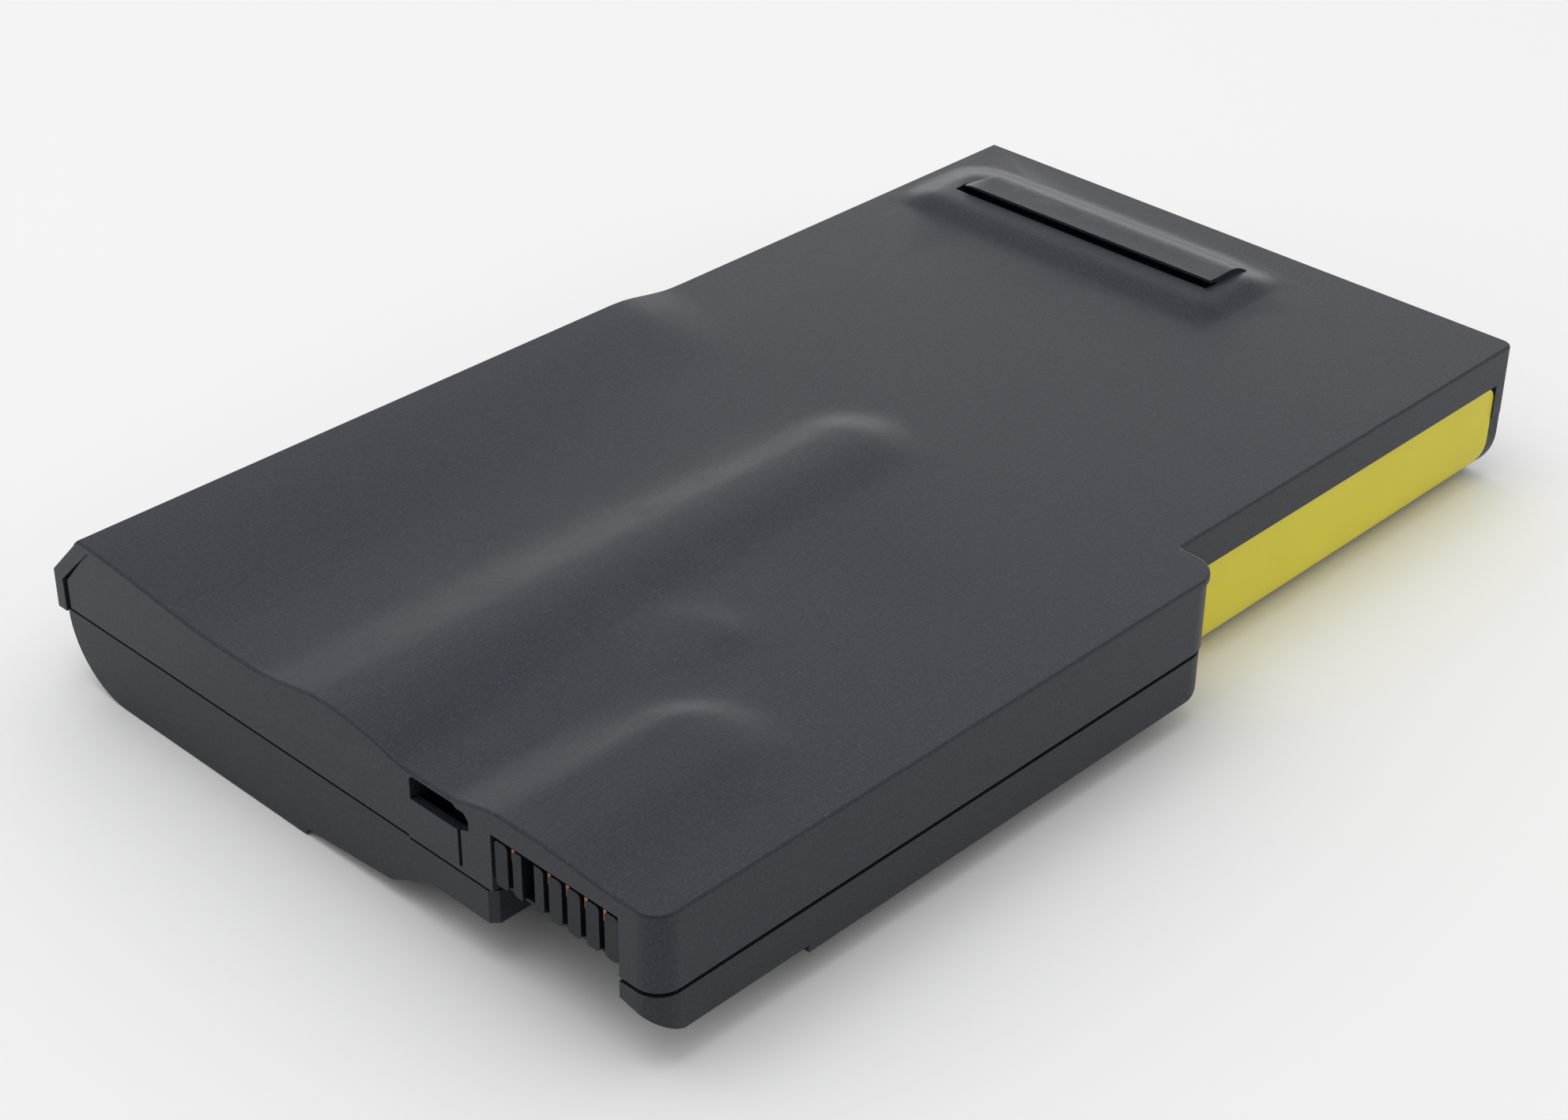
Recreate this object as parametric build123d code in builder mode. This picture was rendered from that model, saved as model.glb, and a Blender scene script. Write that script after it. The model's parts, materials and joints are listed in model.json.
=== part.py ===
from build123d import *
import os
from math import cos, hypot, radians, sin, sqrt

# A removable laptop battery: two moulded shells, a comb connector, six cells and a protection board.
# X runs along the pack from the connector end, Y from front to back, Z up from the flat underside.

# Cells
cell_diameter = 17.0
cell_length = 67.0
cell_rows = 3
row_gap = 0.4
button_diameter = 6.0
button_height = 0.9
crimp_depth = 0.5
crimp_offset = 3.0
crimp_width = 1.6
cell_edge = 0.6

# Nickel plates, paper and foam round the cells
link_thickness = 0.2
link_height = 8.0
strap_width = 4.0
paper_thickness = 0.3
paper_margin = 1.5
pad_width = 6.0
pad_length = 42.0

# Walls and clearances of the mouldings
saddle_clearance = 0.1
fit_clearance = 0.2
touch_clearance = 0.05
floor_wall = 0.8
roof_wall = 1.3
panel_wall = 1.1
case_wall = 1.2
left_wall = 2.4
right_wall = 1.4
skirt_wall = 1.6
skirt_gap = 0.65
skirt_clearance = 0.1
skirt_drop = 0.3
seam = 0.3
ledge_seam = 0.2
rib_drop = 1.0

# Plan of the pack
board_bay = 16.4
front_bay = 36.4
ledge_length = 87.0
ledge_depth = 6.2
corner_radius = 3.0
ledge_corner_radius = 4.0
rear_corner_radius = 1.4
inner_corner_radius = 0.5

# Cover: bevelled back edge, rim and relieved sides
bevel_width = 6.4
bevel_drop = 6.7
bevel_rise = 1.5
rim_height = 0.8
rim_overhang = 0.2
rim_radius = 0.35
end_relief = 0.4
end_relief_start = 36.6
slit_reach = 4.6
slit_length = 75.0

# Soft ridges on the cover, placed from the left end and the front or back edge
back_rise = 1.19
back_flank = (28.0, 1.75)
back_nose = (80.0, 93.0)
hollow_depth = 0.79
hollow_flanks = (14.9, 33.5, 37.0, 45.7)
hollow_fade = (8.0, 96.0)
middle_rise = 0.85
middle_crest = 48.3
middle_nose = 77.5
middle_back = (1.0, 9.2)
middle_front = (0.0, 11.0)
channel_depth = 0.9
channel_edges = (25.5, 29.7)
channel_run = 37.0
channel_lift = 0.25
channel_end = (33.0, 31.0)
channel_drop = (5.0, 11.0)
front_rise = 0.7
front_crest = 18.4
front_nose = 22.0
front_back = (3.4, 8.4)
front_front = (2.0, 13.3)
surface_pitches = (1.8, 1.9, 2.0, 2.2, 2.5, 2.6)
surface_fit = 0.0001
surface_looks = 40
surface_margin = 3.0

# Finger grip, placed from the right end and the back edge
grip_far = 12.3
grip_width = 8.0
grip_ahead = 1.5
grip_back = 14.0
grip_length = 43.0
grip_rise = 1.2
grip_flank = 4.6
lip_rise = 2.0
lip_step = 0.1
lip_width = 4.2
lip_root = 3.0
lip_flank = 7.5
lip_lead = 0.5
lip_tail = 3.0
lip_sink = 2.2
lip_edge = 0.35
finger_gap = 0.9
finger_depth = 0.7
finger_reach = 4.0
finger_slope = 1.0

# Keyed latch slot in the left end, placed from the front edge and down from the cover's level
slot_start = 27.0
slot_end = 36.0
slot_roof = 1.35
slot_height = 3.2
slot_step = 1.9
slot_drop = 0.6
slot_chamfer = 0.7
slot_depth = 9.0
slot_pocket = 2.5
slot_wall = 1.0
crack_width = 0.5
crack_offset = 1.5
crack_depth = 0.6
crack_height = 4.4

# Comb connector
comb_start = 5.75
comb_bars = 7
comb_pitch = 2.62
bar_width = 1.85
bar_height = 5.5
bar_reach = 4.65
bar_setback = 0.35
bar_radius = 0.5
comb_lift = 1.5
comb_top_gap = 0.5
comb_body = 8.0
comb_plate = 0.35
keyway_width = 1.85
keyway_after = 4
blade_thickness = 0.45
blade_setback = 0.35
blade_tip = 1.4
blade_height = 4.0
blade_slope = 2.3
blade_tail = 0.8
blade_drop = 0.2
blade_stem = 1.6

# Lower case
tub_radius = 6.7
tub_end_radius = 0.8
ledge_drop = 5.85
ledge_step = 0.9
ledge_step_at = 20.9
ledge_end_radius = 4.5
ledge_inset = 0.5
zone_length = 17.0
zone_drop = 4.05
zone_slope_start = 33.7
zone_slope_end = 40.3
zone_slope_rise = 1.95
zone_flat_end = 54.4
zone_step = 0.85
zone_radius = 2.5
notch_depth = 9.5
notch_chamfer = 0.8
foot_lift = 2.5
foot_slopes = (-0.45, 0.22)
tongue_height = 0.8
saddle_floor = 2.4
post_diameter = 4.0
post_inset = 5.0

# Yellow label in its recess
label_start = 1.4
label_end = 2.9
label_rise = 4.95
label_recess = 0.25
label_thickness = 0.2
label_corner = 2.0
label_wrap = 60.0
label_wrap_gap = 1.0

# Protection board
board_thickness = 1.0
board_margin = 1.0
board_past_centre = 6.0
board_tab = 3.0
tab_height = 2.0
tab_foot = 2.0
chip_size = (10.0, 6.5, 1.2)
switch_size = (5.0, 4.0, 1.5)
resistor_size = (6.3, 3.2, 0.6)
fuse_size = (7.5, 3.2, 1.6)
chip_at = 35.0
switch_at = 50.0
fuse_at = 62.0
part_aside = 5.0

# Places that follow from the sizes above
cell_radius = cell_diameter / 2
saddle_radius = cell_radius + saddle_clearance
row_pitch = cell_diameter + row_gap
parting = floor_wall + saddle_radius
cover_level = parting + saddle_radius + roof_wall
cover_floor = parting + seam
end_space = link_thickness + paper_thickness + fit_clearance
cell_span = 2 * cell_length + link_thickness
length = left_wall + board_bay + end_space + cell_span + end_space + right_wall
tub_back_radius = saddle_radius + floor_wall
row_span = (cell_rows - 1) * row_pitch
rear_stack = tub_back_radius + skirt_gap + skirt_wall
width = ledge_depth + case_wall + front_bay + cell_radius + row_span + rear_stack
left = -length / 2
right = length / 2
front = -width / 2
back = width / 2
ledge_right = left + ledge_length
main_front = front + ledge_depth
wall_front = main_front + rim_overhang
rows_y = [back - rear_stack - i * row_pitch for i in range(cell_rows)]
cells_left = left + left_wall + board_bay + end_space
cells_right = cells_left + cell_span
centre_x = cells_left + cell_length
ceiling = cover_level - channel_depth - panel_wall
bevel_foot = cover_level - bevel_drop
skirt_corner = bevel_foot + bevel_rise - skirt_wall * (sqrt(2) - 1)
shell_left = left + end_relief
lip_left = right - grip_far - lip_width
lip_front = back - grip_back - grip_length
sky = cover_level + 3 * lip_rise
below = -parting
comb_end = comb_start + (comb_bars - 1) * comb_pitch + bar_width + 2 * fit_clearance
comb_floor = parting + comb_lift
comb_top = comb_floor + bar_height
board_bottom = parting + touch_clearance
board_top = board_bottom + board_thickness
board_left = left + notch_depth + fit_clearance
board_right = centre_x + board_past_centre
board_front = main_front + case_wall + board_margin
board_back = rows_y[-1] - saddle_radius - case_wall - board_margin
ledge_bottom = parting - ledge_drop
zone_bottom = parting - zone_drop
label_left = ledge_right + label_start
label_right = right - label_end
label_top = parting + label_rise


def ease(start, end, value):
    """Smooth step from 0 at start to 1 at end, with no kink in slope or curvature."""
    t = min(max((value - start) / (end - start), 0), 1)
    return t**3 * (t * (6 * t - 15) + 10)


def ridge(rise, run, across, back_span, front_span):
    """A ridge with a round nose: run is the distance past its nose's centre, across from its crest."""
    reach = hypot(max(run, 0), across)
    share = (1 + across / reach) / 2 if reach > 0 else 0.5
    start, end = (share * b + (1 - share) * f for b, f in zip(back_span, front_span))
    return rise * (1 - ease(start, end, reach))


def grip_island(x, y):
    """The raised field of the finger grip: a low bead and the swell that carries the lip."""
    past_right = max(x - right + grip_far, 0) / lip_flank
    past_back = max(y - back + grip_back, 0) / lip_flank
    past_tail = max(y - back + grip_back + lip_tail, 0) / lip_flank
    bead_left = max(right - grip_far - grip_width - x, 0) / grip_flank
    bead_front = max(lip_front - grip_ahead - y, 0) / grip_flank
    swell_left = max(lip_left + lip_root - x, 0) / lip_root
    swell_front = max(lip_front + lip_root - y, 0) / lip_root
    bead = 1 - ease(0, 1, hypot(max(bead_left, past_right), max(bead_front, past_back)))
    swell = 1 - ease(0, 1, hypot(max(swell_left, past_right), max(swell_front, past_tail)))
    return grip_rise * bead + (lip_rise - lip_step - grip_rise) * swell


def cover_height(x, y):
    """Height of the cover's outer face over a place in plan."""
    run = x - left
    deep = y - front
    rear = back - y
    back_ridge = back_rise * ease(*back_flank, rear)
    back_ridge *= 1 - ease(*back_nose, hypot(run, max(rear - back_flank[1], 0)))
    hollow = hollow_depth * ease(*hollow_flanks[:2], rear) * (1 - ease(*hollow_flanks[2:], rear))
    hollow *= 1 - ease(*hollow_fade, run)
    middle = ridge(middle_rise, run - middle_nose, deep - middle_crest, middle_back, middle_front)
    ramp = (channel_depth + channel_lift) * run / channel_run - channel_depth
    channel = ramp * ease(*channel_edges, deep)
    channel *= 1 - ease(*channel_drop, hypot(max(run - channel_end[0], 0), deep - channel_end[1]))
    front_ridge = ridge(front_rise, run - front_nose, deep - front_crest, front_back, front_front)
    return cover_level + back_ridge - hollow + middle + channel + front_ridge + grip_island(x, y)


def lip_height(x, y):
    """Height of the grip's lip: a flat bar that sinks into its swell to the right and at the back."""
    past_x = max(x - right + grip_far, 0)
    past_y = max(y - back + grip_back + lip_tail, 0)
    return cover_level + lip_rise - lip_sink * ease(0, lip_flank - lip_lead, hypot(past_x, past_y))


def bevel_height(x, y):
    """Height of the bevel on the back edge, which rises with the back ridge."""
    foot = bevel_foot + bevel_rise * (1 - ease(*back_nose, x - left))
    return foot + (back - y) * bevel_drop / bevel_width


def fitted_face(height, x_span, y_span, pitch):
    """A smooth face through points of a height formula."""
    steps_x = round((x_span[1] - x_span[0]) / pitch)
    steps_y = round((y_span[1] - y_span[0]) / pitch)
    xs = [x_span[0] + (x_span[1] - x_span[0]) * i / steps_x for i in range(steps_x + 1)]
    ys = [y_span[0] + (y_span[1] - y_span[0]) * j / steps_y for j in range(steps_y + 1)]
    grid = [[(x, y, height(x, y)) for y in ys] for x in xs]
    return Face.make_surface_from_array_of_points(grid, tol=surface_fit, min_deg=3, max_deg=5)


def fit_error(face, height):
    """Largest difference in height between a fitted face and its formula."""
    steps = [i / surface_looks for i in range(surface_looks + 1)]
    spots = [face.position_at(u, v) for u in steps for v in steps]
    return max(abs(spot.Z - height(spot.X, spot.Y)) for spot in spots)


def formed_face(height, x_span, y_span):
    """The closest of the faces fitted to a height formula at several spacings."""
    faces = [fitted_face(height, x_span, y_span, pitch) for pitch in surface_pitches]
    return min(faces, key=lambda face: fit_error(face, height))


def draw_outline(inset, mode=Mode.ADD):
    """Plan outline of the cover, set in at the left end and round the front ledge."""
    corners = [
        (left + inset, front + inset),
        (ledge_right - inset, front + inset),
        (ledge_right - inset, main_front - inset),
        (right + inset, main_front - inset),
        (right + inset, back + inset),
        (left + inset, back + inset),
    ]
    radii = [corner_radius, ledge_corner_radius, inner_corner_radius, rear_corner_radius, 0, 0]
    with BuildLine() as outline:
        FilletPolyline(corners, radius=radii, close=True)
    make_face(outline.edges(), mode=mode)


def draw_polygon(*points):
    """Closed straight-sided profile."""
    with BuildLine() as outline:
        Polyline(*points, close=True)
    make_face(outline.edges())


def block(low, high, mode=Mode.ADD):
    """Straight block between two corners."""
    size = [b - a for a, b in zip(low, high)]
    middle = tuple((a + b) / 2 for a, b in zip(low, high))
    with Locations(middle):
        Box(*size, mode=mode)


def save(piece, name):
    """Label a finished piece and write its file."""
    piece.part.label = name
    export_step(piece.part, f"parts/{name}.step")


os.makedirs("parts", exist_ok=True)

cover_face = formed_face(
    cover_height,
    (left - surface_margin, right + surface_margin),
    (front - surface_margin, back + surface_margin),
)
rim_face = cover_face.moved(Location((0, 0, -rim_height)))
bevel_face = formed_face(
    bevel_height,
    (left - surface_margin, right + surface_margin),
    (back - 2 * bevel_width, back + surface_margin),
)

# Material taken off the sides below the rim
with BuildPart() as side_relief:
    with BuildSketch(Plane.XY.offset(below)):
        Rectangle(length + surface_margin, width + surface_margin)
        draw_outline(rim_overhang, Mode.SUBTRACT)
    extrude(amount=sky - below)
    split(bisect_by=rim_face, keep=Keep.BOTTOM)

# The deeper relief of the left end, inside the skirt
with BuildPart() as end_recess:
    with BuildSketch(Plane.YZ.offset(left - surface_margin / 2)):
        draw_polygon(
            (front + end_relief_start, below),
            (front + end_relief_start, sky),
            (back - skirt_wall - (sky - skirt_corner), sky),
            (back - skirt_wall, skirt_corner),
            (back - skirt_wall, below),
        )
    extrude(amount=surface_margin / 2 + end_relief)
    split(bisect_by=rim_face, keep=Keep.BOTTOM)

# Finger lip, flat on top and sunk into its swell
lip_right = right - grip_far + lip_flank / 2
lip_back = back - grip_back - lip_tail + lip_flank / 2
lip_face = formed_face(
    lip_height,
    (lip_left - surface_margin, lip_right + surface_margin),
    (lip_front - surface_margin, lip_back + surface_margin),
)
with BuildPart() as finger_lip:
    block((lip_left, lip_front, ceiling), (lip_right, lip_back, sky))
    split(bisect_by=lip_face, keep=Keep.BOTTOM)

# Upper shell
with BuildPart() as top_cover:
    with BuildSketch(Plane.XY.offset(parting - skirt_drop)):
        draw_outline(0)
    extrude(amount=sky - parting + skirt_drop)
    block(
        (left - surface_margin, front - surface_margin, below),
        (right + surface_margin, back - skirt_wall, cover_floor),
        Mode.SUBTRACT,
    )
    split(bisect_by=cover_face, keep=Keep.BOTTOM)
    split(bisect_by=bevel_face, keep=Keep.BOTTOM)
    top_face = top_cover.faces().filter_by(GeomType.BSPLINE).sort_by(SortBy.AREA)[-1]
    rim_edges = [edge for edge in top_face.edges() if edge.center().Y < back - 2 * bevel_width]
    fillet(rim_edges, radius=rim_radius)
    add(side_relief.part, mode=Mode.SUBTRACT)
    add(end_recess.part, mode=Mode.SUBTRACT)
    add(finger_lip.part)
    # Room for the board, the front ledge and the cells
    block(
        (left + left_wall, main_front + case_wall, below),
        (right - right_wall, rows_y[0], ceiling),
        Mode.SUBTRACT,
    )
    block(
        (left + left_wall, front + case_wall, below),
        (ledge_right - ledge_corner_radius, main_front + 2 * case_wall, ceiling),
        Mode.SUBTRACT,
    )
    with BuildSketch(Plane.YZ.offset(cells_left - end_space)):
        with Locations([(y, parting) for y in rows_y]):
            Circle(saddle_radius)
    extrude(amount=cell_span + 2 * end_space, mode=Mode.SUBTRACT)
    # The slit between the skirt and the inner wall, open at the left end and below
    with BuildSketch(Plane.YZ.offset(left - surface_margin)):
        inner = back - skirt_wall - skirt_gap
        draw_polygon(
            (inner, below),
            (back - skirt_wall, below),
            (back - skirt_wall, skirt_corner),
            (back - skirt_wall - slit_reach, skirt_corner + slit_reach),
            (inner, skirt_corner),
        )
    extrude(amount=surface_margin + slit_length, mode=Mode.SUBTRACT)
    # Finger hollow under the lip
    with BuildSketch(Plane.XZ.offset(-(back - grip_back))):
        edge_z = cover_level + lip_rise - lip_edge
        draw_polygon(
            (lip_left - finger_gap, cover_level - finger_depth),
            (lip_left + finger_reach, cover_level - finger_depth),
            (lip_left + finger_reach, edge_z - finger_slope),
            (lip_left, edge_z),
            (lip_left - finger_gap, edge_z),
        )
    extrude(amount=grip_length, mode=Mode.SUBTRACT)
    # Latch slot with its own housing inside, deeper behind the wall
    slot_top = cover_level - slot_roof
    slot_bottom = slot_top - slot_height
    pocket_floor = slot_bottom - slot_pocket
    block(
        (left + left_wall, front + slot_start - slot_wall, pocket_floor - slot_wall),
        (left + slot_depth + slot_wall, front + slot_end + slot_wall, ceiling),
    )
    with BuildSketch(Plane.YZ.offset(left - surface_margin)):
        draw_polygon(
            (front + slot_end, slot_bottom),
            (front + slot_end, slot_top - slot_chamfer),
            (front + slot_end - slot_chamfer, slot_top),
            (front + slot_start + slot_step, slot_top),
            (front + slot_start + slot_step, slot_top - slot_drop),
            (front + slot_start + slot_chamfer, slot_top - slot_drop),
            (front + slot_start, slot_top - slot_drop - slot_chamfer),
            (front + slot_start, slot_bottom + slot_chamfer),
            (front + slot_start + slot_step, slot_bottom),
        )
    extrude(amount=surface_margin + slot_depth, mode=Mode.SUBTRACT)
    block(
        (left + left_wall / 2, front + slot_start, pocket_floor),
        (left + slot_depth, front + slot_end, slot_top - slot_drop - slot_chamfer),
        Mode.SUBTRACT,
    )
    crack_y = front + slot_start + crack_offset
    block(
        (left - surface_margin, crack_y - crack_width / 2, slot_bottom - crack_height),
        (left + rim_overhang + crack_depth, crack_y + crack_width / 2, slot_bottom + slot_chamfer),
        Mode.SUBTRACT,
    )
    # Opening for the comb
    block(
        (left - surface_margin, front + comb_start - fit_clearance, below),
        (left + left_wall + fit_clearance, front + comb_end, comb_top + comb_top_gap),
        Mode.SUBTRACT,
    )
    # Label recess
    block(
        (label_left, main_front - surface_margin, below),
        (label_right, wall_front + label_recess, label_top),
        Mode.SUBTRACT,
    )
save(top_cover, "top_cover")

# Lower shell
ledge_root = main_front + tub_radius / 2
ledge_end = ledge_right - ledge_inset
ledge_floor = ledge_bottom + ledge_step + case_wall
tub_left = left + zone_length + case_wall
rib_front = rows_y[-1] - saddle_radius - case_wall
foot_y = wall_front + tub_radius
tub_back_y = back - skirt_wall - skirt_clearance - tub_back_radius
foot_plane = Plane(
    origin=(left, front, ledge_bottom + foot_lift),
    z_dir=(-foot_slopes[0], -foot_slopes[1], 1),
)
with BuildPart() as foot_cut:
    block(
        (left - surface_margin, front - surface_margin, below),
        (left + notch_depth, front + comb_start, parting),
    )
    split(bisect_by=foot_plane, keep=Keep.BOTTOM)

with BuildPart() as lower_case:
    # Front ledge, shallower beside the connector and rounded up at its right end
    with BuildSketch(Plane.XY.offset(ledge_bottom)):
        with BuildLine():
            FilletPolyline(
                (left + rim_overhang, ledge_root),
                (left + rim_overhang, front + rim_overhang),
                (ledge_end, front + rim_overhang),
                (ledge_end, ledge_root),
                radius=[corner_radius, ledge_corner_radius],
            )
            Line((ledge_end, ledge_root), (left + rim_overhang, ledge_root))
        make_face()
    extrude(amount=ledge_drop - ledge_seam)
    with BuildSketch(Plane.XZ.offset(-back)):
        with BuildLine():
            FilletPolyline(
                (left, parting),
                (left, ledge_bottom + ledge_step),
                (left + ledge_step_at, ledge_bottom + ledge_step),
                (left + ledge_step_at, ledge_bottom),
                (ledge_end, ledge_bottom),
                (ledge_end, parting),
                radius=[0, 0, 0, 0, ledge_end_radius, 0],
                close=True,
            )
        make_face()
    extrude(amount=width, mode=Mode.INTERSECT)
    # Tub round the cells, with its right end rounded
    with BuildSketch(Plane.YZ.offset(left + zone_length)):
        with BuildLine():
            Line((wall_front, parting), (wall_front, tub_radius))
            RadiusArc((wall_front, tub_radius), (foot_y, 0), -tub_radius)
            Line((foot_y, 0), (tub_back_y, 0))
            RadiusArc((tub_back_y, 0), (tub_back_y + tub_back_radius, parting), -tub_back_radius)
            Line((tub_back_y + tub_back_radius, parting), (wall_front, parting))
        make_face()
    extrude(amount=right - rim_overhang - left - zone_length)
    end_edges = lower_case.faces().sort_by(Axis.X)[-1].edges()
    fillet(end_edges.sort_by(Axis.Z)[:-1], radius=tub_end_radius)
    # Raised zone at the connector end, set back behind the slot as the cover's end is
    with BuildSketch(Plane.YZ.offset(left + rim_overhang)):
        with BuildLine():
            FilletPolyline(
                (wall_front, parting),
                (wall_front, zone_bottom),
                (front + zone_slope_start, zone_bottom),
                (front + zone_slope_end, zone_slope_rise),
                (front + zone_flat_end, zone_step),
                (front + zone_flat_end + zone_step / 2, 0),
                (tub_back_y, 0),
                radius=[0, zone_radius, zone_radius, 0, 0],
            )
            RadiusArc((tub_back_y, 0), (tub_back_y + tub_back_radius, parting), -tub_back_radius)
            Line((tub_back_y + tub_back_radius, parting), (wall_front, parting))
        make_face()
    extrude(amount=zone_length - rim_overhang)
    block(
        (left - surface_margin, front + end_relief_start, below),
        (shell_left, back, sky),
        Mode.SUBTRACT,
    )
    # Notch under the comb; the pillar beside it has a slanted foot and a tongue into the cover
    with BuildSketch(Plane.XY.offset(below)):
        notch_left = left + rim_overhang
        notch_back = front + comb_end
        draw_polygon(
            (left - surface_margin, front + comb_start - fit_clearance),
            (left + notch_depth, front + comb_start - fit_clearance),
            (left + notch_depth, notch_back),
            (notch_left + notch_chamfer, notch_back),
            (notch_left - surface_margin, notch_back + notch_chamfer + surface_margin),
        )
    extrude(amount=sky - below, mode=Mode.SUBTRACT)
    add(foot_cut.part, mode=Mode.SUBTRACT)
    block(
        (left + left_wall + fit_clearance, front + case_wall + fit_clearance, parting - rib_drop),
        (left + notch_depth, front + comb_start - 2 * fit_clearance, cover_floor + tongue_height),
    )
    # Room in the ledge and in the raised zone
    block(
        (left + notch_depth + case_wall, front + rim_overhang + case_wall, ledge_floor),
        (ledge_end - ledge_end_radius, ledge_root - case_wall, sky),
        Mode.SUBTRACT,
    )
    block(
        (left + notch_depth + case_wall, ledge_root - case_wall, zone_bottom + case_wall),
        (tub_left, front + zone_slope_start, sky),
        Mode.SUBTRACT,
    )
    block(
        (shell_left + case_wall, front + comb_end + case_wall, zone_bottom + case_wall),
        (tub_left, front + zone_slope_start, sky),
        Mode.SUBTRACT,
    )
    block(
        (shell_left + case_wall, rib_front + case_wall, zone_slope_rise + case_wall),
        (tub_left, rows_y[0], sky),
        Mode.SUBTRACT,
    )
    # Room for the board and the cells, with a rib before the front row
    with BuildSketch(Plane.YZ.offset(tub_left)):
        with Locations((foot_y, tub_radius)):
            Circle(tub_radius - case_wall)
    extrude(amount=right - right_wall - tub_left, mode=Mode.SUBTRACT)
    block((tub_left, foot_y, case_wall), (right - right_wall, rib_front, sky), Mode.SUBTRACT)
    block(
        (tub_left, wall_front + case_wall, tub_radius),
        (right - right_wall, rib_front, sky),
        Mode.SUBTRACT,
    )
    block(
        (tub_left, rib_front + case_wall, saddle_floor),
        (right - right_wall, rows_y[0], sky),
        Mode.SUBTRACT,
    )
    block(
        (shell_left + case_wall, front + zone_slope_start, parting - rib_drop),
        (right - right_wall, rows_y[0], sky),
        Mode.SUBTRACT,
    )
    with BuildSketch(Plane.YZ.offset(cells_left - end_space)):
        with Locations([(y, parting) for y in rows_y]):
            Circle(saddle_radius)
    extrude(amount=cell_span + 2 * end_space, mode=Mode.SUBTRACT)
    # Posts under the board, standing on the raised floor and on the tub's floor
    for post_x, floor in ((board_left + post_inset, zone_bottom), (board_right - post_inset, 0)):
        with BuildSketch(Plane.XY.offset(floor + case_wall / 2)):
            with Locations((post_x, board_front + post_inset), (post_x, board_back - post_inset)):
                Circle(post_diameter / 2)
        extrude(amount=parting - floor - case_wall / 2)
    # Label recess, following the rounded foot of the wall
    wrap_y = -cos(radians(label_wrap))
    wrap_z = -sin(radians(label_wrap))
    recess_radius = tub_radius - label_recess
    outer_radius = tub_radius + rim_height
    with BuildSketch(Plane.YZ.offset(label_left)):
        with BuildLine():
            recess_end = (foot_y + recess_radius * wrap_y, tub_radius + recess_radius * wrap_z)
            outer_end = (foot_y + outer_radius * wrap_y, tub_radius + outer_radius * wrap_z)
            Line((wall_front + label_recess, parting), (wall_front + label_recess, tub_radius))
            RadiusArc((wall_front + label_recess, tub_radius), recess_end, -recess_radius)
            Line(recess_end, outer_end)
            Line(outer_end, (wall_front - rim_height, outer_end[1]))
            Line((wall_front - rim_height, outer_end[1]), (wall_front - rim_height, parting))
            Line((wall_front - rim_height, parting), (wall_front + label_recess, parting))
        make_face()
    extrude(amount=label_right - label_left, mode=Mode.SUBTRACT)
save(lower_case, "lower_case")

# Yellow label: a bent sheet cut to a rounded outline
sheet_gap = (label_recess - label_thickness) / 2
sheet_in = tub_radius - label_recess + sheet_gap
sheet_out = sheet_in + label_thickness
sheet_in_y = foot_y - sheet_in
sheet_out_y = foot_y - sheet_out
sheet_wrap = radians(label_wrap - label_wrap_gap)
with BuildPart() as side_label:
    with BuildSketch(Plane.YZ.offset(label_left + sheet_gap)):
        with BuildLine():
            end_in = (foot_y - sheet_in * cos(sheet_wrap), tub_radius - sheet_in * sin(sheet_wrap))
            end_out = (foot_y - sheet_out * cos(sheet_wrap), tub_radius - sheet_out * sin(sheet_wrap))
            Line((sheet_in_y, label_top - sheet_gap), (sheet_in_y, tub_radius))
            RadiusArc((sheet_in_y, tub_radius), end_in, -sheet_in)
            Line(end_in, end_out)
            RadiusArc(end_out, (sheet_out_y, tub_radius), sheet_out)
            Line((sheet_out_y, tub_radius), (sheet_out_y, label_top - sheet_gap))
            Line((sheet_out_y, label_top - sheet_gap), (sheet_in_y, label_top - sheet_gap))
        make_face()
    extrude(amount=label_right - label_left - 2 * sheet_gap)
    top_corners = side_label.edges().filter_by(Axis.Y).group_by(Axis.Z)[-1]
    fillet(top_corners, radius=label_corner)
save(side_label, "side_label")

# Comb connector: a body on the board and seven bars on a thin plate, with a keyway between two of them
comb_back = left + bar_setback + bar_reach
body_end = comb_back + comb_body
bars_y = [front + comb_start + i * comb_pitch for i in range(comb_bars)]
blade_top = comb_top - blade_drop
blade_bottom = blade_top - blade_height
blades_y = [
    y + bar_width + touch_clearance for i, y in enumerate(bars_y[:-1]) if i != keyway_after
]
keyway_y = bars_y[keyway_after] + (bar_width + comb_pitch) / 2
with BuildPart() as contact_block:
    block(
        (comb_back, bars_y[0], board_top + touch_clearance),
        (body_end, bars_y[-1] + bar_width, comb_top),
    )
    with BuildSketch(Plane.YZ.offset(left + bar_setback)):
        with Locations([(y + bar_width / 2, comb_floor + bar_height / 2) for y in bars_y]):
            RectangleRounded(bar_width, bar_height, bar_radius)
    extrude(amount=bar_reach)
    block(
        (left, keyway_y - keyway_width / 2, below),
        (comb_back, keyway_y + keyway_width / 2, sky),
        Mode.SUBTRACT,
    )
    block(
        (left + bar_setback + comb_plate, bars_y[0] + bar_radius, comb_floor),
        (comb_back, bars_y[-1] + bar_width - bar_radius, comb_floor + comb_plate),
    )
    for blade_y in blades_y:
        slit_end_y = blade_y + blade_thickness + touch_clearance
        slit_end_z = blade_bottom + blade_stem + touch_clearance
        block(
            (comb_back, blade_y - touch_clearance, blade_bottom - touch_clearance),
            (body_end, slit_end_y, slit_end_z),
            Mode.SUBTRACT,
        )
save(contact_block, "contact_block")

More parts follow.
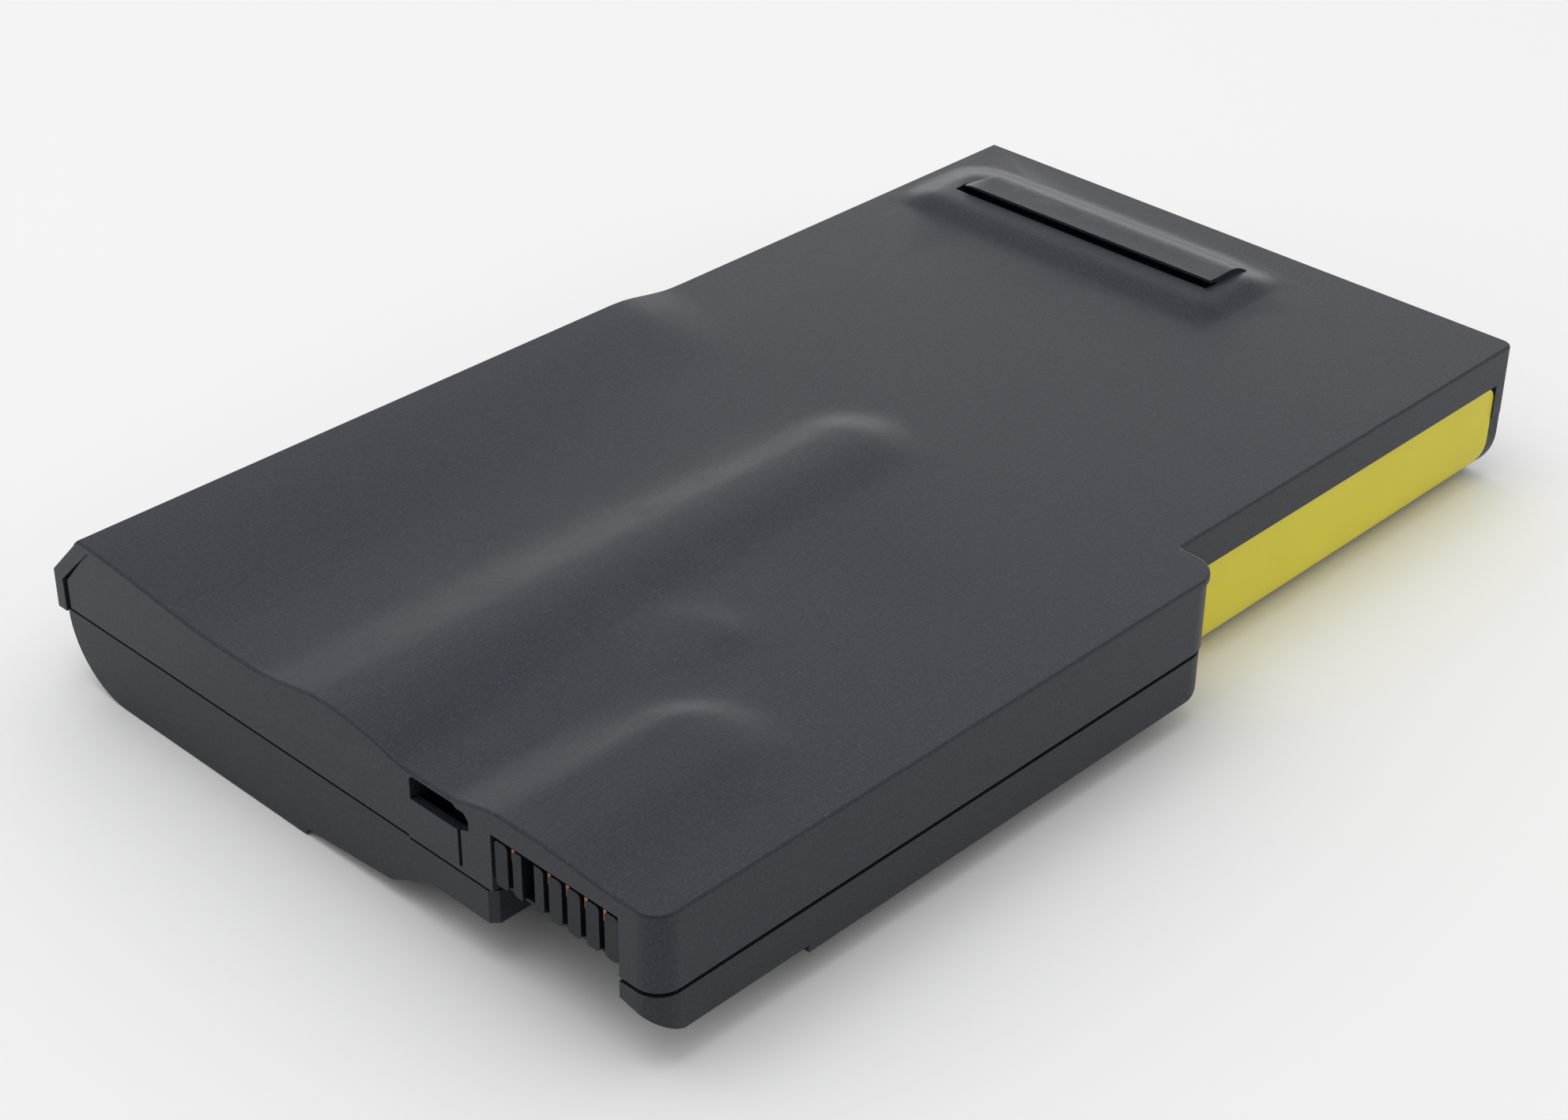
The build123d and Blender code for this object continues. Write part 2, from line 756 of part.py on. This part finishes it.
# Spring blades beside the bars, each with a tail down to the board, none in the keyway
tip_x = left + bar_setback + blade_setback
tail_x = body_end + touch_clearance
for number, blade_y in enumerate(blades_y, 1):
    with BuildPart() as contact_blade:
        with BuildSketch(Plane.XZ.offset(-(blade_y + blade_thickness))):
            draw_polygon(
                (tip_x, blade_top),
                (comb_back - touch_clearance, blade_top),
                (comb_back - touch_clearance, blade_bottom + blade_stem),
                (tail_x + blade_tail, blade_bottom + blade_stem),
                (tail_x + blade_tail, board_top),
                (tail_x, board_top),
                (tail_x, blade_bottom),
                (tip_x + blade_slope, blade_bottom),
                (tip_x, blade_top - blade_tip),
            )
        extrude(amount=blade_thickness)
    save(contact_blade, f"contact_blade_{number}")


def make_cell(name, start, y, heading):
    """One round cell from its flat end; heading is 1 or -1 along X towards its button."""
    can = cell_length - button_height
    groove = can - crimp_offset
    with BuildPart() as cell:
        with BuildSketch(Plane(origin=(start, y, parting), x_dir=(heading, 0, 0), z_dir=(0, 0, 1))):
            draw_polygon(
                (0, 0),
                (0, cell_radius - cell_edge),
                (cell_edge, cell_radius),
                (groove - crimp_width, cell_radius),
                (groove - crimp_width / 2, cell_radius - crimp_depth),
                (groove, cell_radius),
                (can - cell_edge, cell_radius),
                (can, cell_radius - cell_edge),
                (can, button_diameter / 2),
                (cell_length, button_diameter / 2),
                (cell_length, 0),
            )
        revolve(axis=Axis((start, y, parting), (1, 0, 0)))
    save(cell, name)


# Cells in pairs along each row; the middle row's buttons meet at the centre
right_start = centre_x + link_thickness
for row, y in enumerate(rows_y):
    if row == 1:
        make_cell(f"cell_{2 * row + 1}", cells_left, y, 1)
        make_cell(f"cell_{2 * row + 2}", cells_right, y, -1)
    else:
        make_cell(f"cell_{2 * row + 1}", centre_x, y, -1)
        make_cell(f"cell_{2 * row + 2}", right_start, y, 1)

# Nickel plates: series links, single tabs and tabs to the board
plate_low = parting - link_height / 2
plate_high = parting + link_height / 2
half_plate = link_height / 2
strap_y = (rows_y[0] + rows_y[1]) / 2
strap_z = parting + sqrt((cell_radius + touch_clearance) ** 2 - ((row_pitch - strap_width) / 2) ** 2)


def plate(x, low_row, high_row):
    """Upright plate across the ends of one or two rows."""
    block(
        (x, rows_y[low_row] - half_plate, plate_low),
        (x + link_thickness, rows_y[high_row] + half_plate, plate_high),
    )


def board_arm(x):
    """Arm from the front row's plate over the rib, with a foot on the board."""
    block(
        (x, board_back - board_tab, board_top),
        (x + link_thickness, rows_y[-1] - half_plate, board_top + tab_height),
    )
    block(
        (x - tab_foot, board_back - board_tab, board_top),
        (x, board_back, board_top + link_thickness),
    )


def strap_arm(x):
    """Arm from the back row's plate up to the underside of the strap."""
    block(
        (x, strap_y - strap_width / 2, plate_high - tab_height),
        (x + link_thickness, rows_y[0], strap_z),
    )


plate_left = cells_left - link_thickness
with BuildPart() as left_link:
    plate(plate_left, 2, 1)
    board_arm(plate_left)
save(left_link, "left_link")

with BuildPart() as right_link:
    plate(cells_right, 2, 1)
save(right_link, "right_link")

with BuildPart() as centre_link:
    plate(centre_x, 1, 0)
save(centre_link, "centre_link")

with BuildPart() as centre_tab:
    plate(centre_x, 2, 2)
    board_arm(centre_x)
save(centre_tab, "centre_tab")

with BuildPart() as left_tab:
    plate(plate_left, 0, 0)
    strap_arm(plate_left)
save(left_tab, "left_tab")

with BuildPart() as right_tab:
    plate(cells_right, 0, 0)
    strap_arm(cells_right)
save(right_tab, "right_tab")

with BuildPart() as return_strap:
    block(
        (plate_left, strap_y - strap_width / 2, strap_z),
        (cells_right + link_thickness, strap_y + strap_width / 2, strap_z + link_thickness),
    )
save(return_strap, "return_strap")

# Insulating papers over both ends and foam pads between the front rows
paper_height = 2 * (cell_radius - paper_margin)
paper_starts = {"left_paper": plate_left - paper_thickness, "right_paper": cells_right + link_thickness}
for name, paper_x in paper_starts.items():
    with BuildPart() as end_paper:
        with BuildSketch(Plane.YZ.offset(paper_x)):
            with Locations((rows_y[1], parting)):
                SlotOverall(row_span + paper_height, paper_height)
        extrude(amount=paper_thickness)
    save(end_paper, name)

pad_y = (rows_y[1] + rows_y[2]) / 2
pad_low = parting + sqrt((cell_radius + touch_clearance) ** 2 - ((row_pitch - pad_width) / 2) ** 2)
pads_x = (cells_left + cell_length / 2, right_start + cell_length / 2)
for number, pad_x in enumerate(pads_x, 1):
    with BuildPart() as cell_pad:
        block(
            (pad_x - pad_length / 2, pad_y - pad_width / 2, pad_low),
            (pad_x + pad_length / 2, pad_y + pad_width / 2, ceiling - touch_clearance),
        )
    save(cell_pad, f"cell_pad_{number}")

# Protection board and what stands on it
with BuildPart() as circuit_board:
    block((board_left, board_front, board_bottom), (board_right, board_back, board_top))
save(circuit_board, "circuit_board")

board_middle = (board_front + board_back) / 2
board_parts = {
    "gauge_chip": (chip_size, chip_at, 0),
    "switch_chip_1": (switch_size, switch_at, part_aside),
    "switch_chip_2": (switch_size, switch_at, -part_aside),
    "current_resistor": (resistor_size, fuse_at, part_aside),
    "board_fuse": (fuse_size, fuse_at, -part_aside),
}
for name, (size, along, aside) in board_parts.items():
    part_x = board_left + along
    with BuildPart() as board_part:
        block(
            (part_x - size[0] / 2, board_middle + aside - size[1] / 2, board_top),
            (part_x + size[0] / 2, board_middle + aside + size[1] / 2, board_top + size[2]),
        )
    save(board_part, name)
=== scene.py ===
import bpy
import json
from mathutils import Matrix, Vector

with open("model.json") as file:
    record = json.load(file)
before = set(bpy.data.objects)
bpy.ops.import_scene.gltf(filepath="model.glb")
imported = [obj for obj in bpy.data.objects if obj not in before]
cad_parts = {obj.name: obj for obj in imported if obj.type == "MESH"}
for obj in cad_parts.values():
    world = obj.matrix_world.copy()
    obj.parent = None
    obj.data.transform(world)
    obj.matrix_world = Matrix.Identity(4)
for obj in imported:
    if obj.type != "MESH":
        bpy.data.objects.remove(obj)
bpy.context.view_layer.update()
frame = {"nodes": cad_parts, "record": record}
nodes = frame["nodes"]

# Camera, from the photograph's perspective: lens and sensor in mm, the rest in metres
LENS = 67.046
SENSOR = 36.0
CLIP_START = 0.005
CLIP_END = 20.0
CAMERA_AT = Vector((-0.22183, -0.203096, 0.191114))
CAMERA_RIGHT = Vector((0.695826, -0.718156, 0.008829))
CAMERA_UP = Vector((0.37649, 0.375197, 0.847043))
CAMERA_BACK = Vector((-0.611622, -0.58607, 0.531451))

lens = bpy.data.cameras.new("camera")
lens.lens = LENS
lens.sensor_width = SENSOR
lens.sensor_fit = "HORIZONTAL"
lens.clip_start = CLIP_START
lens.clip_end = CLIP_END
camera = bpy.data.objects.new("camera", lens)
bpy.context.scene.collection.objects.link(camera)
axes = Matrix((CAMERA_RIGHT, CAMERA_UP, CAMERA_BACK)).transposed()
camera.matrix_world = Matrix.Translation(CAMERA_AT) @ axes.to_4x4()
bpy.context.scene.camera = camera
bpy.context.scene.view_settings.view_transform = "Standard"

# Textures: scales per metre, depths of relief in metres
GRAIN_SCALE = 2600.0
GRAIN_DEPTH = 0.00004
CLOUD_SCALE = 38.0
CLOUD_DIM = 0.94
ROUGHNESS_SPREAD = 0.04
SURFACE_DEPTH = 0.00003


def new_material(name):
    """An empty node material with its shader."""
    mat = bpy.data.materials.new(name)
    mat.use_nodes = True
    shader = mat.node_tree.nodes["Principled BSDF"]
    return mat, mat.node_tree, shader


def add_noise(tree, scale, detail, rough=0.5):
    """Noise in the object's own coordinates, in metres."""
    where = tree.nodes.new("ShaderNodeTexCoord")
    noise = tree.nodes.new("ShaderNodeTexNoise")
    noise.inputs["Scale"].default_value = scale
    noise.inputs["Detail"].default_value = detail
    noise.inputs["Roughness"].default_value = rough
    tree.links.new(where.outputs["Object"], noise.inputs["Vector"])
    return noise


def add_ramp(tree, source, stops):
    """Colour ramp with stops of (place, colour)."""
    ramp = tree.nodes.new("ShaderNodeValToRGB")
    band = ramp.color_ramp
    while len(band.elements) < len(stops):
        band.elements.new(0.5)
    for element, (place, colour) in zip(band.elements, stops):
        element.position = place
        element.color = (*colour, 1.0)
    tree.links.new(source, ramp.inputs["Fac"])
    return ramp


def add_bump(tree, shader, source, strength, distance):
    """Fine relief from a texture."""
    bump = tree.nodes.new("ShaderNodeBump")
    bump.inputs["Strength"].default_value = strength
    bump.inputs["Distance"].default_value = distance
    tree.links.new(source, bump.inputs["Height"])
    tree.links.new(bump.outputs["Normal"], shader.inputs["Normal"])


def shade(colour, factor):
    """A colour made lighter or darker."""
    return tuple(min(1.0, c * factor) for c in colour)


def grained_plastic(name, colour, roughness, sheen, relief, fleck):
    """Moulded plastic with a spark-eroded grain: fine flecks, broad cloudiness and a fine relief."""
    mat, tree, shader = new_material(name)
    fine = add_noise(tree, GRAIN_SCALE, detail=3.0, rough=0.6)
    flecks = add_ramp(tree, fine.outputs["Fac"], [
        (0.30, shade(colour, 1 - fleck)),
        (0.56, colour),
        (0.72, shade(colour, 1 + 2 * fleck)),
    ])
    broad = add_noise(tree, CLOUD_SCALE, detail=4.0)
    clouds = add_ramp(tree, broad.outputs["Fac"], [(0.35, (CLOUD_DIM,) * 3), (0.65, (1.0,) * 3)])
    mix = tree.nodes.new("ShaderNodeMixRGB")
    mix.blend_type = "MULTIPLY"
    mix.inputs["Fac"].default_value = 1.0
    tree.links.new(flecks.outputs["Color"], mix.inputs["Color1"])
    tree.links.new(clouds.outputs["Color"], mix.inputs["Color2"])
    tree.links.new(mix.outputs["Color"], shader.inputs["Base Color"])
    rubbed = tree.nodes.new("ShaderNodeMapRange")
    rubbed.inputs["To Min"].default_value = roughness - ROUGHNESS_SPREAD
    rubbed.inputs["To Max"].default_value = roughness + ROUGHNESS_SPREAD
    tree.links.new(broad.outputs["Fac"], rubbed.inputs["Value"])
    tree.links.new(rubbed.outputs["Result"], shader.inputs["Roughness"])
    shader.inputs["Specular IOR Level"].default_value = sheen
    add_bump(tree, shader, fine.outputs["Fac"], relief, GRAIN_DEPTH)
    return mat


def plain_surface(name, low, high, scale, roughness, relief, metal=0.0):
    """A surface whose colour wanders between two tones."""
    mat, tree, shader = new_material(name)
    noise = add_noise(tree, scale, detail=4.0)
    tones = add_ramp(tree, noise.outputs["Fac"], [(0.35, low), (0.65, high)])
    tree.links.new(tones.outputs["Color"], shader.inputs["Base Color"])
    shader.inputs["Roughness"].default_value = roughness
    shader.inputs["Metallic"].default_value = metal
    add_bump(tree, shader, noise.outputs["Fac"], relief, SURFACE_DEPTH)
    return mat


# Looks by the record's material slot
PLASTICS = {
    "cover_plastic": dict(
        colour=(0.022, 0.0245, 0.037), roughness=0.43, sheen=0.33, relief=0.28, fleck=0.34),
    "case_plastic": dict(
        colour=(0.020, 0.0225, 0.032), roughness=0.47, sheen=0.33, relief=0.24, fleck=0.30),
    "connector_plastic": dict(
        colour=(0.008, 0.0105, 0.015), roughness=0.45, sheen=0.26, relief=0.10, fleck=0.14),
}
SURFACES = {
    "label_film": dict(
        low=(0.71, 0.62, 0.018), high=(0.75, 0.655, 0.024), scale=60.0, roughness=0.5, relief=0.02),
    "contact_metal": dict(
        low=(0.46, 0.20, 0.08), high=(0.62, 0.29, 0.12), scale=900.0, roughness=0.36, relief=0.04, metal=1.0),
    "cell_sleeve": dict(
        low=(0.04, 0.16, 0.30), high=(0.05, 0.19, 0.35), scale=80.0, roughness=0.28, relief=0.02),
    "nickel": dict(
        low=(0.58, 0.57, 0.54), high=(0.68, 0.67, 0.63), scale=700.0, roughness=0.34, relief=0.04, metal=1.0),
    "insulating_paper": dict(
        low=(0.62, 0.56, 0.44), high=(0.72, 0.66, 0.53), scale=500.0, roughness=0.85, relief=0.15),
    "foam": dict(
        low=(0.03, 0.03, 0.03), high=(0.05, 0.05, 0.05), scale=1200.0, roughness=0.95, relief=0.4),
    "board_laminate": dict(
        low=(0.02, 0.15, 0.06), high=(0.03, 0.19, 0.08), scale=200.0, roughness=0.45, relief=0.04),
    "chip_resin": dict(
        low=(0.02, 0.02, 0.022), high=(0.03, 0.03, 0.032), scale=1500.0, roughness=0.6, relief=0.1),
    "component_ceramic": dict(
        low=(0.66, 0.64, 0.60), high=(0.74, 0.72, 0.68), scale=600.0, roughness=0.6, relief=0.05),
}
slot_looks = {slot: grained_plastic(slot, **look) for slot, look in PLASTICS.items()}
slot_looks.update({slot: plain_surface(slot, **look) for slot, look in SURFACES.items()})

for row in frame["record"]["subparts"]:
    piece = nodes[row["node"]]
    piece.data.materials.clear()
    piece.data.materials.append(slot_looks[row["material_slot"]])

# Floor, a hair below the underside
FLOOR_HALF = 30.0
FLOOR_Z = -0.0001
FLOOR_COLOUR = (0.96, 0.96, 0.96, 1.0)
FLOOR_ROUGHNESS = 0.9
floor_mesh = bpy.data.meshes.new("floor")
floor_mesh.from_pydata(
    [(-FLOOR_HALF, -FLOOR_HALF, FLOOR_Z), (FLOOR_HALF, -FLOOR_HALF, FLOOR_Z),
     (FLOOR_HALF, FLOOR_HALF, FLOOR_Z), (-FLOOR_HALF, FLOOR_HALF, FLOOR_Z)],
    [], [(0, 1, 2, 3)],
)
floor = bpy.data.objects.new("floor", floor_mesh)
bpy.context.scene.collection.objects.link(floor)
floor_look, _, floor_shader = new_material("floor")
floor_shader.inputs["Base Color"].default_value = FLOOR_COLOUR
floor_shader.inputs["Roughness"].default_value = FLOOR_ROUGHNESS
floor_mesh.materials.append(floor_look)

# Soft studio light: a pale room, dimmer towards the front left corner of the pack
DIM_SIDE = (-0.72, -0.69, 0.0)
FADE_START = 0.1
FADE_END = 1.0
ROOM_LIGHT = 0.84
DIM_LIGHT = 0.30
world = bpy.data.worlds.new("studio")
bpy.context.scene.world = world
world.use_nodes = True
sky = world.node_tree.nodes["Background"]
sky.inputs["Color"].default_value = (1.0, 1.0, 1.0, 1.0)
toward = world.node_tree.nodes.new("ShaderNodeTexCoord")
side = world.node_tree.nodes.new("ShaderNodeVectorMath")
side.operation = "DOT_PRODUCT"
side.inputs[1].default_value = DIM_SIDE
fade = world.node_tree.nodes.new("ShaderNodeMapRange")
fade.interpolation_type = "SMOOTHSTEP"
fade.inputs["From Min"].default_value = FADE_START
fade.inputs["From Max"].default_value = FADE_END
fade.inputs["To Min"].default_value = ROOM_LIGHT
fade.inputs["To Max"].default_value = DIM_LIGHT
world.node_tree.links.new(toward.outputs["Generated"], side.inputs[0])
world.node_tree.links.new(side.outputs["Value"], fade.inputs["Value"])
world.node_tree.links.new(fade.outputs["Result"], sky.inputs["Strength"])


def add_softbox(name, place, aim, size, power):
    """A large rectangular lamp aimed at a point."""
    lamp = bpy.data.lights.new(name, "AREA")
    lamp.shape = "RECTANGLE"
    lamp.size = size[0]
    lamp.size_y = size[1]
    lamp.energy = power
    box = bpy.data.objects.new(name, lamp)
    box.location = place
    box.rotation_euler = (Vector(aim) - Vector(place)).to_track_quat("-Z", "Y").to_euler()
    bpy.context.scene.collection.objects.link(box)


add_softbox("back_box", place=(2.1, 1.5, 0.32), aim=(0.0, 0.0, 0.02), size=(2.0, 0.48), power=6.4)
add_softbox("top_box", place=(-0.2, 0.1, 1.1), aim=(0.0, 0.0, 0.0), size=(0.8, 0.8), power=2.8)
